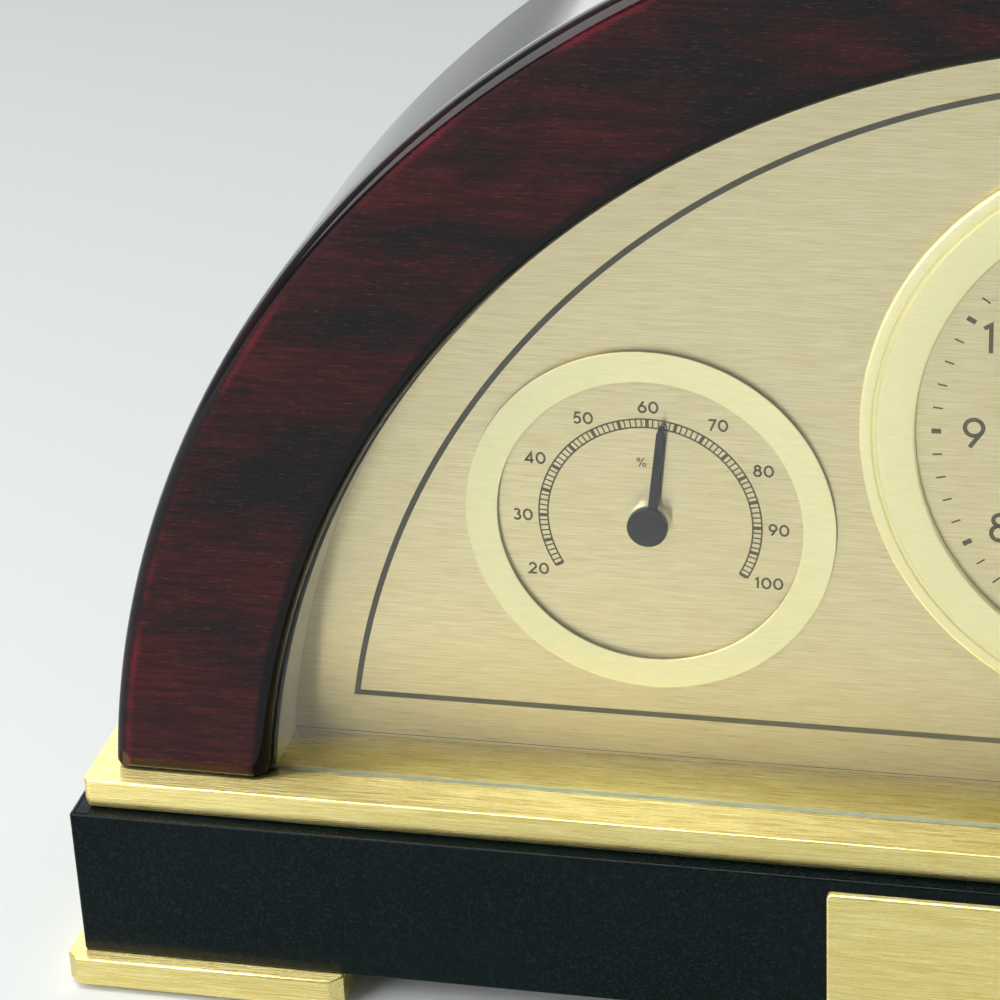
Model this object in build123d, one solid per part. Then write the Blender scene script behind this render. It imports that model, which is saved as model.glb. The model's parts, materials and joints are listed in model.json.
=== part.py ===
from build123d import *
import math
import os

os.makedirs("parts", exist_ok=True)

# A desk clock with a hygrometer and a thermometer: a wooden arch on a brass strip, a black plinth and brass feet.
# All lengths are millimetres. X runs to the right, Y from the front to the back, Z up from the table.

# wooden arch
arch_outer_radius = 127.0
arch_band = 19.3
arch_depth = 31.0
arch_edge_round = 2.0
arch_foot_round = 1.1
arch_sink = 10.98            # the arch's centre lies this far below its own standing face
pocket_step = 3.3            # the pocket behind the front lip is this much larger in radius

# layers inside the arch, from the front to the back
glass_recess = 2.84
glass_thickness = 1.96
glass_seam = 0.25
air_gap = 8.6
dial_thickness = 1.2
dial_lift = 0.45             # the dial ends this far above the brass strip
lining_step = 1.0            # the lining stands this far inside the lip
panel_thickness = 3.0
panel_recess = 0.4
spacer_width = 7.8
seat_gap = 0.15              # loose fit of glass, lining, dial and panel in the pocket

# base
deck_face = 2.64             # upright part of the strip's edge
deck_bevel_height = 1.4      # below it the edge leans in
deck_bevel_depth = 0.8
deck_overhang = 3.07
deck_top_edge = 0.25
deck_corner = 1.0
plinth_height = 20.05
plinth_overhang = 1.59
plinth_edge = 0.4
foot_height = 3.82
foot_length = 35.6
foot_overhang = 1.99
foot_corner = 1.5
foot_edge = 0.3
pad_thickness = 0.8
pad_inset = 3.0

# plaque on the front of the plinth
plaque_length = 75.9
plaque_thickness = 0.9
plaque_edge = 0.3
plaque_drop = 1.57           # bare plinth above the plaque, and as much below it

# layout of the dial: shares of the radius of the border line printed on it
border_inset = 6.7
clock_rise_share = 0.572
clock_ring_share = 0.3655
instrument_side_share = 0.6118
instrument_rise_share = 0.4332
instrument_ring_share = 0.2208
ring_bore_share = 0.8257
ring_height = 0.7
ring_edge = 0.15
clock_ring_height = 0.95
groove_share = 0.955         # radius of the turned groove in the clock ring
groove_width = 0.35
groove_depth = 0.3

# instruments
flange_radius = 2.45
flange_height = 0.7
bush_radius = 1.6
spindle_radius = 0.6
hub_radius = 2.4
hub_height = 0.55
hub_edge = 0.12
needle_lift = 0.2
needle_thickness = 0.25
needle_root = 1.38
needle_neck = 1.16
needle_point = 0.24
needle_length_share = 0.779
needle_neck_share = 0.69
housing_share = 0.747
housing_depth = 10.0
housing_wall = 0.8
bearing_radius = 2.4
bearing_depth = 1.6
bearing_web = 0.5
bridge_width = 5.0
bridge_thickness = 1.2
vent_count = 4
vent_height = 2.0
vent_spacing = 5.0
vent_length_share = 1.1     # of the cup's radius
coil_start = 1.7
coil_end_share = 0.66
coil_turns = 3
coil_strip = 0.3
coil_width = 3.0
coil_setback = 3.0
post_radius = 0.7
post_lead = 0.5
hygrometer_turn = 9.4        # degrees clockwise of straight up, as the needle stands at rest
thermometer_turn = 8.0

# quartz movement and its battery
movement_wall = 1.65
movement_depth = 14.9
movement_corner = 3.0
front_shell_depth = 5.0
gasket_size = 40.0
gasket_thickness = 0.5
gasket_bore = 6.0
bushing_radius = 4.0
bushing_reach = 2.6
washer_radius = 7.0
washer_thickness = 0.3
nut_across = 11.0
nut_thickness = 1.8
nut_edge = 0.25
hour_tube_radius = 2.5
arbor_radius = 1.5
arbor_seat = 3.5
tube_seat = 1.0
run_gap = 0.05               # running clearance of every turning or sliding fit
battery_radius = 7.25
battery_length = 50.5
sleeve_thickness = 0.15
nipple_radius = 2.7
nipple_length = 1.0
battery_edge = 0.4
battery_drop = 17.5
bay_floor = 1.0
bay_wall = 3.2
contact_room = 1.1
contact_size = 8.0
contact_thickness = 0.3
contact_boss = 2.0
thumb_notch = 16.0
knob_radius = 5.6
knob_height = 2.7
knob_pocket_radius = 7.4
knob_pocket_depth = 2.0
knob_lift = 0.1
knob_stem_radius = 1.5
knob_stem_length = 3.0
knob_teeth = 24
knob_tooth_height = 0.5
clip_length = 7.0
clip_depth = 0.8

# clock hands
hour_lift = 0.9
hand_thickness = 0.3
hand_spacing = 1.1
hour_boss = 3.6
minute_boss = 2.9
hour_length_share = 0.62
minute_length_share = 0.9
hour_width = 2.6
minute_width = 1.9
hand_tail = 6.5
hand_point = 0.35
hand_taper_share = 0.82
tube_stand = 0.3
arbor_stand = 0.5
cap_radius = 2.2
cap_height = 1.3
cap_edge = 0.4
minute_turn = 60.0           # ten minutes past ten
hour_turn = 305.0

# screws
bolt_radius = 2.0
bolt_hole_radius = 2.25
bolt_head_radius = 3.5
bolt_head_height = 2.4
bolt_pocket_radius = 3.9
bolt_bite = 18.0
panel_screw_radius = 1.3
panel_screw_head = 2.6
panel_screw_head_height = 1.4
panel_screw_bite = 8.0
panel_screw_turns = (28.0, 72.0, 108.0, 152.0)
opening_gap = 1.6
opening_corner = 4.0

# heights
foot_bottom = pad_thickness
foot_top = foot_bottom + foot_height
plinth_top = foot_top + plinth_height
deck_top = plinth_top + deck_bevel_height + deck_face
centre_z = deck_top - arch_sink

# depths
arch_front = -arch_depth / 2
arch_back = arch_depth / 2
glass_front = arch_front + glass_recess
glass_back = glass_front + glass_thickness
dial_front = glass_back + air_gap
dial_back = dial_front + dial_thickness
panel_back = arch_back - panel_recess
panel_front = panel_back - panel_thickness
movement_front = dial_back + gasket_thickness
movement_back = movement_front + movement_depth
movement_width = battery_length + 2 * (contact_room + movement_wall)
movement_height = 2 * (battery_drop + battery_radius + run_gap + bay_wall)

# radii and layout
lip_radius = arch_outer_radius - arch_band
pocket_radius = lip_radius + pocket_step
seat_radius = pocket_radius - seat_gap
lining_radius = lip_radius - lining_step
border_radius = lining_radius - border_inset
clock_z = centre_z + clock_rise_share * border_radius
clock_ring_radius = clock_ring_share * border_radius
instrument_x = instrument_side_share * border_radius
instrument_z = centre_z + instrument_rise_share * border_radius
instrument_ring_radius = instrument_ring_share * border_radius
housing_radius = housing_share * instrument_ring_radius
clock_bore = clock_ring_radius * ring_bore_share
instrument_bore = instrument_ring_radius * ring_bore_share

# half widths and half depths of the base
arch_half = math.sqrt(arch_outer_radius ** 2 - arch_sink ** 2)
deck_half_x = arch_half + deck_overhang
deck_half_y = arch_back + deck_overhang
plinth_half_x = deck_half_x + plinth_overhang
plinth_half_y = deck_half_y + plinth_overhang
foot_half_y = plinth_half_y + foot_overhang
foot_x = plinth_half_x + foot_overhang - foot_length / 2
bolt_x = (arch_half + pocket_radius) / 2

middle = (Align.CENTER, Align.CENTER, Align.CENTER)
standing = (Align.CENTER, Align.CENTER, Align.MIN)


def save(name, shape):
    export_step(shape, "parts/" + name + ".step")


def rod_y(radius, front, back, x=0, z=0):
    # a round bar lying along Y, from front to back
    bar = Cylinder(radius, back - front, align=standing)
    return Pos(x, front, z) * Rot(-90, 0, 0) * bar


def rod_z(radius, low, high, x=0, y=0):
    return Pos(x, y, low) * Cylinder(radius, high - low, align=standing)


def block(x_low, x_high, y_low, y_high, z_low, z_high):
    box = Box(x_high - x_low, y_high - y_low, z_high - z_low, align=(Align.MIN, Align.MIN, Align.MIN))
    return Pos(x_low, y_low, z_low) * box


def segment(radius, front, back, lift=0):
    # a disc about the arch's centre, cut off flat at the top of the brass strip or a little above it
    keep = block(-radius, radius, front, back, deck_top + lift, centre_z + radius)
    return rod_y(radius, front, back, 0, centre_z) & keep


def band(outer, inner, front, back):
    return segment(outer, front, back) - rod_y(inner, front, back, 0, centre_z)


def turned(profile, x, y, z):
    # profile points are (radius, height towards the front)
    outline = Polyline(*[(radius, -height) for radius, height in profile], close=True)
    return Pos(x, y, z) * revolve(make_face(outline), Axis.Y)


def leaf(points, back, thickness, turn, x, z):
    # a flat shape drawn upright, its rear face at y = back, turned clockwise as seen from the front
    face = make_face(Polyline(*points, close=True))
    return Pos(x, back, z) * Rot(0, turn, 0) * Rot(90, 0, 0) * extrude(face, thickness)


def group(pieces):
    return Compound(children=list(pieces))


def edges_along(shape, axis):
    return shape.edges().filter_by(axis)


# base, from the table up
for side, side_name in ((-1, "left"), (1, "right")):
    cx = side * foot_x
    foot = block(cx - foot_length / 2, cx + foot_length / 2, -foot_half_y, foot_half_y, foot_bottom, foot_top)
    foot = chamfer(edges_along(foot, Axis.Z), foot_corner)
    foot = chamfer(foot.faces().sort_by(Axis.Z)[-1].edges(), foot_edge)
    foot -= rod_z(bolt_pocket_radius, foot_bottom, foot_bottom + bolt_head_height, side * bolt_x)
    foot -= rod_z(bolt_hole_radius, foot_bottom + bolt_head_height, foot_top, side * bolt_x)
    save(side_name + "_foot", foot)
    half_pad = foot_length / 2 - pad_inset
    pad = block(cx - half_pad, cx + half_pad, -foot_half_y + pad_inset, foot_half_y - pad_inset, 0, foot_bottom)
    save(side_name + "_pad", fillet(edges_along(pad, Axis.Z), pad_inset))

plinth = block(-plinth_half_x, plinth_half_x, -plinth_half_y, plinth_half_y, foot_top, plinth_top)
plinth = chamfer(plinth.edges(), plinth_edge)
deck_bend = plinth_top + deck_bevel_height
deck = block(-deck_half_x, deck_half_x, -deck_half_y, deck_half_y, deck_bend, deck_top)
deck = chamfer(edges_along(deck, Axis.Z), deck_corner)
deck = chamfer(deck.faces().sort_by(Axis.Z)[-1].edges(), deck_top_edge)
deck_lean = math.degrees(math.atan(deck_bevel_depth / deck_bevel_height))
deck += extrude(deck.faces().sort_by(Axis.Z)[0], deck_bevel_height, taper=deck_lean)
case_bolts = []
for side in (-1, 1):
    bx = side * bolt_x
    plinth -= rod_z(bolt_hole_radius, foot_top, plinth_top, bx)
    deck -= rod_z(bolt_hole_radius, plinth_top, deck_top, bx)
    head_top = foot_bottom + bolt_head_height
    case_bolts.append(rod_z(bolt_head_radius, foot_bottom, head_top, bx)
                      + rod_z(bolt_radius, head_top, deck_top + bolt_bite, bx))
save("plinth", plinth)
save("deck_strip", deck)
save("case_bolts", group(case_bolts))

plaque = block(-plaque_length / 2, plaque_length / 2, -plinth_half_y - plaque_thickness, -plinth_half_y,
               foot_top + plaque_drop, plinth_top - plaque_drop)
save("front_plaque", chamfer(plaque.faces().sort_by(Axis.Y)[0].edges(), plaque_edge))

# wooden arch: every edge of the bent bar is rounded first, then the pocket is bored in from the back,
# so the front keeps a rounded lip that the glass seats against
arch = band(arch_outer_radius, lip_radius, arch_front, arch_back)
arch = fillet(arch.edges().filter_by(GeomType.CIRCLE), arch_edge_round)
foot_edges = arch.faces().sort_by(Axis.Z)[0].edges() + arch.faces().sort_by(Axis.Z)[1].edges()
arch = fillet(foot_edges, arch_foot_round)
arch -= rod_y(pocket_radius, glass_front, arch_back, 0, centre_z)
for side in (-1, 1):
    arch -= rod_z(bolt_radius, deck_top, deck_top + bolt_bite, side * bolt_x)
save("arch_case", arch)

save("front_glass", chamfer(segment(seat_radius, glass_front, glass_back).edges(), glass_seam))
save("aperture_lining", band(seat_radius, lining_radius, glass_back, dial_front))

dial = segment(seat_radius, dial_front, dial_back, dial_lift)
dial -= rod_y(bushing_radius, dial_front, dial_back, 0, clock_z)
for side in (-1, 1):
    dial -= rod_y(bush_radius, dial_front, dial_back, side * instrument_x, instrument_z)
save("dial_plate", dial)

# rear frame, panel and its screws
spacer_bore = seat_radius - spacer_width
screw_ring = (seat_radius + spacer_bore) / 2
spacer = band(seat_radius, spacer_bore, dial_back, panel_front)
panel = segment(seat_radius, panel_front, panel_back)
opening_x = movement_width / 2 + opening_gap
opening_z = movement_height / 2 + opening_gap
opening = block(-opening_x, opening_x, panel_front, panel_back, clock_z - opening_z, clock_z + opening_z)
panel -= fillet(edges_along(opening, Axis.Y), opening_corner)
for side in (-1, 1):
    for step in range(vent_count):
        reach = vent_length_share * housing_radius / 2
        low = instrument_z + (step - (vent_count - 1) / 2) * vent_spacing - vent_height / 2
        panel -= block(side * instrument_x - reach, side * instrument_x + reach, panel_front, panel_back,
                       low, low + vent_height)
panel_screws = []
for turn in panel_screw_turns:
    px = screw_ring * math.cos(math.radians(turn))
    pz = centre_z + screw_ring * math.sin(math.radians(turn))
    tip = panel_front - panel_screw_bite
    neck = panel_back - panel_screw_head_height
    head = Pos(px, neck, pz) * Rot(-90, 0, 0) * Cone(panel_screw_radius, panel_screw_head, panel_screw_head_height,
                                                    align=standing)
    shank = rod_y(panel_screw_radius, tip, neck, px, pz)
    spacer -= rod_y(panel_screw_radius, tip, panel_front, px, pz)
    panel -= rod_y(panel_screw_radius, panel_front, neck, px, pz) + head
    panel_screws.append(head + shank)
save("rear_spacer", spacer)
save("back_panel", panel)
save("panel_screws", group(panel_screws))

# raised rings on the dial
inner = clock_bore
outer = clock_ring_radius
groove = groove_share * clock_ring_radius
top = clock_ring_height
save("clock_ring", turned([
    (inner, 0), (inner, top - 2 * ring_edge), (inner + 2 * ring_edge, top - ring_edge),
    (groove - groove_width, top), (groove - groove_width / 2, top - groove_depth),
    (groove + groove_width / 2, top - groove_depth), (groove + groove_width, top),
    (outer - 2 * ring_edge, top - ring_edge), (outer, top - 2 * ring_edge), (outer, 0)], 0, dial_front, clock_z))


def instrument(name, side, turn):
    cx = side * instrument_x
    cz = instrument_z
    inner = instrument_bore
    outer = instrument_ring_radius
    save(name + "_ring", turned([
        (inner, 0), (inner, ring_height - ring_edge), (inner + ring_edge, ring_height),
        (outer - ring_edge, ring_height), (outer, ring_height - ring_edge), (outer, 0)], cx, dial_front, cz))

    # bush through the dial, its flange seen behind the needle
    bush = rod_y(flange_radius, dial_front - flange_height, dial_front, cx, cz)
    bush = chamfer(bush.edges().filter_by(GeomType.CIRCLE).sort_by(Axis.Y)[0], hub_edge)
    bush += rod_y(bush_radius, dial_front, dial_back + housing_wall, cx, cz)
    bush -= rod_y(spindle_radius + run_gap, dial_front - flange_height, dial_back + housing_wall, cx, cz)
    save(name + "_bush", bush)

    # moving piece: spindle, needle and hub
    needle_back = dial_front - flange_height - needle_lift
    needle_front = needle_back - needle_thickness
    length = instrument_bore * needle_length_share
    neck = instrument_bore * needle_neck_share
    half_root, half_neck, half_point = needle_root / 2, needle_neck / 2, needle_point / 2
    blade = leaf([(-half_root, 0), (-half_neck, neck), (-half_point, length), (half_point, length),
                  (half_neck, neck), (half_root, 0)], needle_back, needle_thickness, turn, cx, cz)
    blade += rod_y(hub_radius - hub_edge, needle_front, needle_back, cx, cz)
    save(name + "_needle", blade - rod_y(spindle_radius, needle_front, needle_back, cx, cz))
    hub = rod_y(hub_radius, needle_front - hub_height, needle_front, cx, cz)
    save(name + "_hub", chamfer(hub.edges().filter_by(GeomType.CIRCLE).sort_by(Axis.Y)[0], hub_edge))
    housing_back = dial_back + housing_depth
    bearing_floor = housing_back - bearing_web
    save(name + "_spindle", rod_y(spindle_radius, needle_front, bearing_floor - run_gap, cx, cz))

    # cup behind the dial, open to the air at the back, where a bridge carries the spindle's bearing and the post
    inside = housing_radius - housing_wall
    cup = rod_y(housing_radius, dial_back, housing_back, cx, cz) - rod_y(inside, dial_back, housing_back, cx, cz)
    bridge = block(cx - housing_radius, cx + housing_radius, housing_back - bridge_thickness, housing_back,
                   cz - bridge_width / 2, cz + bridge_width / 2)
    cup += bridge & rod_y(inside + housing_wall / 2, dial_back, housing_back, cx, cz)
    cup += rod_y(bearing_radius, housing_back - bridge_thickness - bearing_depth, housing_back, cx, cz)
    cup -= rod_y(spindle_radius + run_gap, dial_back, bearing_floor, cx, cz)
    save(name + "_housing", cup)

    # sensing coil: a flat strip wound in a spiral, from just clear of the spindle out to a fixed post
    coil_end = coil_end_share * housing_radius
    pitch = (coil_end - coil_start) / coil_turns

    def winding(offset):
        # half circles about two centres in turn, so that the strip runs out smoothly as it goes round
        arcs = []
        for half_turn in range(2 * coil_turns):
            shift = (half_turn % 2) * pitch / 2
            radius = coil_start + half_turn * pitch / 2 + offset
            arcs.append(CenterArc((shift, 0), radius, 180 * (half_turn % 2), 180))
        return arcs

    near, far = winding(0), winding(coil_strip)
    outline = near + far + [Line(near[0] @ 0, far[0] @ 0), Line(near[-1] @ 1, far[-1] @ 1)]
    coil = extrude(make_face(Wire.combine(outline)[0].edges()), coil_width)
    coil_front = dial_back + coil_setback
    save(name + "_coil", Pos(cx, coil_front + coil_width, cz) * Rot(90, 0, 0) * coil)
    post_x = cx + coil_end + coil_strip + post_radius
    save(name + "_post", rod_y(post_radius, coil_front - post_lead, housing_back - bridge_thickness, post_x, cz))


instrument("hygrometer", -1, hygrometer_turn)
instrument("thermometer", 1, thermometer_turn)

# quartz movement behind the dial
half_width, half_height = movement_width / 2, movement_height / 2
split = movement_front + front_shell_depth
bay_z = clock_z - battery_drop
bay_y = movement_front + bay_floor + run_gap + battery_radius
bay_half = battery_length / 2 + contact_room
bay_radius = battery_radius + run_gap
trough = Pos(0, bay_y, bay_z) * Rot(0, 90, 0) * Cylinder(bay_radius, 2 * bay_half, align=middle)
trough += block(-bay_half, bay_half, bay_y, movement_back, bay_z - bay_radius, bay_z + bay_radius)
notch = block(-thumb_notch / 2, thumb_notch / 2, bay_y, movement_back, clock_z - half_height, bay_z)


def shell(front, back):
    body = block(-half_width, half_width, front, back, clock_z - half_height, clock_z + half_height)
    return fillet(edges_along(body, Axis.Y), movement_corner)


pocket_floor = movement_back - knob_pocket_depth
front_shell = shell(movement_front, split) - trough
front_shell -= rod_y(arbor_radius + run_gap, movement_front, movement_front + arbor_seat, 0, clock_z)
save("movement_front_shell", front_shell)
rear_shell = shell(split, movement_back)
rear_shell = chamfer(rear_shell.faces().sort_by(Axis.Y)[-1].edges(), nut_edge) - trough - notch
rear_shell -= rod_y(knob_pocket_radius, pocket_floor, movement_back, 0, clock_z)
rear_shell -= rod_y(knob_stem_radius + run_gap, pocket_floor - knob_stem_length - run_gap, pocket_floor, 0, clock_z)
for side in (-1, 1):
    for level in (-1, 1):
        middle_z = clock_z + level * half_height / 2
        edge = side * half_width
        rear_shell -= block(edge - clip_depth, edge + clip_depth, split, split + front_shell_depth,
                            middle_z - clip_length / 2, middle_z + clip_length / 2)
save("movement_rear_shell", rear_shell)

gasket = block(-gasket_size / 2, gasket_size / 2, dial_back, movement_front,
               clock_z - gasket_size / 2, clock_z + gasket_size / 2)
save("dial_gasket", gasket - rod_y(gasket_bore, dial_back, movement_front, 0, clock_z))
bushing_front = dial_front - bushing_reach
bushing = rod_y(bushing_radius, bushing_front, movement_front, 0, clock_z)
save("movement_bushing", bushing - rod_y(hour_tube_radius + run_gap, bushing_front, movement_front, 0, clock_z))
washer_front = dial_front - washer_thickness
washer = rod_y(washer_radius, washer_front, dial_front, 0, clock_z)
save("movement_washer", washer - rod_y(bushing_radius, washer_front, dial_front, 0, clock_z))
nut = extrude(RegularPolygon(nut_across / 2, 6, major_radius=False), nut_thickness)
nut = Pos(0, washer_front, clock_z) * Rot(90, 0, 0) * chamfer(nut.faces().sort_by(Axis.Z)[-1].edges(), nut_edge)
save("movement_nut", nut - rod_y(bushing_radius, washer_front - nut_thickness, washer_front, 0, clock_z))

# battery, its label sleeve and the two contacts at the ends of the bay
left_end, right_end = -battery_length / 2, battery_length / 2
can_end = right_end - nipple_length
core_radius = battery_radius - sleeve_thickness


def rod_x(radius, low, high):
    return Pos(low, bay_y, bay_z) * Rot(0, 90, 0) * Cylinder(radius, high - low, align=standing)


can = chamfer(rod_x(core_radius, left_end, can_end).edges().filter_by(GeomType.CIRCLE), battery_edge)
save("battery_can", can + rod_x(nipple_radius, can_end, right_end))
sleeve_left, sleeve_right = left_end + battery_edge, can_end - battery_edge
save("battery_sleeve", rod_x(battery_radius, sleeve_left, sleeve_right) - rod_x(core_radius, sleeve_left, sleeve_right))
for side, side_name in ((-1, "negative"), (1, "positive")):
    wall = side * bay_half
    face = side * (bay_half - contact_thickness)
    tip = side * (battery_length / 2 + run_gap)
    contact = block(min(wall, face), max(wall, face), bay_y - contact_size / 2, bay_y + contact_size / 2,
                    bay_z - contact_size / 2, bay_z + contact_size / 2)
    contact += rod_x(contact_boss, min(face, tip), max(face, tip))
    save("battery_contact_" + side_name, contact)

# knob on the back that sets the hands
knob_front = pocket_floor + knob_lift
rim = []
for step in range(2 * knob_teeth):
    angle = math.pi * step / knob_teeth
    reach = knob_radius - knob_tooth_height * (step % 2)
    rim.append((reach * math.cos(angle), reach * math.sin(angle)))
knob = leaf(rim, knob_front + knob_height, knob_height, 0, 0, clock_z)
save("set_knob", knob + rod_y(knob_stem_radius, pocket_floor - knob_stem_length, knob_front, 0, clock_z))


# hands
def hand(length, width, boss, back, bore, turn):
    half_width, half_point = width / 2, hand_point / 2
    shoulder = length * hand_taper_share
    blade = leaf([(-half_width / 2, -hand_tail), (-half_width, shoulder), (-half_point, length),
                  (half_point, length), (half_width, shoulder), (half_width / 2, -hand_tail)],
                 back, hand_thickness, turn, 0, clock_z)
    blade += rod_y(boss, back - hand_thickness, back, 0, clock_z)
    return blade - rod_y(bore, back - hand_thickness, back, 0, clock_z)


hour_back = bushing_front - hour_lift + hand_thickness
minute_back = hour_back - hand_thickness - hand_spacing
cap_back = minute_back - hand_thickness
save("hour_hand", hand(clock_bore * hour_length_share, hour_width, hour_boss, hour_back, hour_tube_radius, hour_turn))
save("minute_hand", hand(clock_bore * minute_length_share, minute_width, minute_boss, minute_back, arbor_radius,
                         minute_turn))
tube = rod_y(hour_tube_radius, hour_back - hand_thickness - tube_stand, dial_front + tube_seat, 0, clock_z)
save("hour_tube", tube - rod_y(arbor_radius + run_gap, hour_back - hand_thickness - tube_stand,
                               dial_front + tube_seat, 0, clock_z))
save("minute_arbor", rod_y(arbor_radius, cap_back - arbor_stand, movement_front + arbor_seat - run_gap, 0, clock_z))
cap = rod_y(cap_radius, cap_back - cap_height, cap_back, 0, clock_z)
cap = chamfer(cap.edges().filter_by(GeomType.CIRCLE).sort_by(Axis.Y)[0], cap_edge)
save("hand_nut", cap - rod_y(arbor_radius, cap_back - arbor_stand, cap_back, 0, clock_z))
print("arc centre height", round(centre_z, 3), "clock", round(clock_z, 3), "instrument",
      round(instrument_x, 3), round(instrument_z, 3), "dial front", round(dial_front, 3))
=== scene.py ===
import json
import math

import bmesh
import bpy
import numpy as np
from mathutils import Matrix, Vector


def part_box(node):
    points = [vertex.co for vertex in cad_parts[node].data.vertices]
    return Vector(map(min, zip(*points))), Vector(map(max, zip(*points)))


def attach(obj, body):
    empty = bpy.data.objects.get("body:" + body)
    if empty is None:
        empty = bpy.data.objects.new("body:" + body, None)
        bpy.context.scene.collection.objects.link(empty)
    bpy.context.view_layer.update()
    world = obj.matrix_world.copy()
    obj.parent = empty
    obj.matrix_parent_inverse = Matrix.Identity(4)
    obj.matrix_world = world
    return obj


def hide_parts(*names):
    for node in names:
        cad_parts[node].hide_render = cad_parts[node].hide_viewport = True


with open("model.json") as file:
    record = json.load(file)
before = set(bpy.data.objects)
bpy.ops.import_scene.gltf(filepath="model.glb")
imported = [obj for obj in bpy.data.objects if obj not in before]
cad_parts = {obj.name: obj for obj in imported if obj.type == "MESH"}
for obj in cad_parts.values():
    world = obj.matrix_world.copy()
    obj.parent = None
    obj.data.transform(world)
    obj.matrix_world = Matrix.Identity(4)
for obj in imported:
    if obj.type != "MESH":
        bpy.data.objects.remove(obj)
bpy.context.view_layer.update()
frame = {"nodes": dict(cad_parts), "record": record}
print("frame loaded:", len(frame["nodes"]), "nodes")

mm = 0.001   # the scene is in metres, sizes below are in millimetres


def boxOf(node):
    # lowest and highest corner of a CAD node, in millimetres
    low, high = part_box(node)
    return np.array(low) / mm, np.array(high) / mm


def middleOf(node):
    low, high = boxOf(node)
    return (low + high) / 2


# the lining is a half ring cut flat: its top, its foot and its half width give the centre of the arch
low, high = boxOf("aperture_lining")
centreZ = (high[2] + low[2] - high[0] ** 2 / (high[2] - low[2])) / 2
deckTop = boxOf("deck_strip")[1][2]
seatRadius = boxOf("aperture_lining")[1][2] - centreZ
outerRadius = boxOf("arch_case")[1][2] - centreZ
archFront, archBack = [corner[1] for corner in boxOf("arch_case")]
glassFront, glassBack = [corner[1] for corner in boxOf("front_glass")]
dialFront = boxOf("dial_plate")[0][1]
clockZ = middleOf("clock_ring")[2]
hygrometerX, instrumentZ = middleOf("hygrometer_ring")[0], middleOf("hygrometer_ring")[2]
thermometerX = middleOf("thermometer_ring")[0]
slotOf = {row["node"]: row["material_slot"] for row in frame["record"]["subparts"]}


def linear(code):
    # an sRGB hex colour as linear red, green, blue and alpha
    parts = [int(code[i:i + 2], 16) / 255 for i in (1, 3, 5)]
    return tuple(p / 12.92 if p <= 0.04045 else ((p + 0.055) / 1.055) ** 2.4 for p in parts) + (1.0,)


def addNode(tree, kind, settings=None, links=None, out=0):
    # adds a node and returns its output number out; settings are its own values, and links fill its inputs
    # with numbers, colours or outputs of other nodes
    node = tree.nodes.new("ShaderNode" + kind)
    for key, value in (settings or {}).items():
        setattr(node, key, value)
    for key, value in (links or {}).items():
        if isinstance(value, bpy.types.NodeSocket):
            tree.links.new(value, node.inputs[key])
        else:
            node.inputs[key].default_value = value
    return node.outputs[out] if len(node.outputs) else node


def startMaterial(name, shader, patterns):
    # a material with one Principled shader; shader gives the values that are the same all over, and each
    # pattern is noise: the size of its grains in mm along X, Y and Z, then detail, roughness and distortion;
    # they come back by name, with the place on the piece
    material = bpy.data.materials.new(name)
    material.use_nodes = True
    tree = material.node_tree
    tree.nodes.clear()
    surface = addNode(tree, "BsdfPrincipled", links=shader)
    addNode(tree, "OutputMaterial", links={"Surface": surface})
    grain = {"place": addNode(tree, "TexCoord", out=3)}
    for key, (sizes, detail, roughness, distortion) in patterns.items():
        scale = tuple(1 / (size * mm) for size in sizes)
        scaled = addNode(tree, "Mapping", links={"Vector": grain["place"], "Scale": scale})
        grain[key] = addNode(tree, "TexNoise", links={
            "Vector": scaled, "Scale": 1.0, "Detail": detail, "Roughness": roughness,
            "Distortion": distortion})
    return material, tree, surface.node, grain


def dressSurface(tree, body, ground, layers, gloss, height, depth, strength=0.5):
    # colours from the ground up, where each layer (share, tone) covers those before it; gloss is a pattern,
    # two of its values and the roughness at each; the relief is depth millimetres deep
    colour = linear(ground)
    for share, tone in layers:
        colour = addNode(tree, "Mix", rgb, {0: share, 6: colour, 7: linear(tone)}, 2)
    keys = ("Value", "From Min", "From Max", "To Min", "To Max")
    rough = addNode(tree, "MapRange", links=dict(zip(keys, gloss)))
    relief = addNode(tree, "Bump", links={"Height": height, "Distance": depth * mm, "Strength": strength})
    for value, name in ((colour, "Base Color"), (rough, "Roughness"), (relief, "Normal")):
        tree.links.new(value, body.inputs[name])


rgb = {"data_type": "RGBA"}
times = {"operation": "MULTIPLY"}
looks = {}
print("helpers ready")

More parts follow.
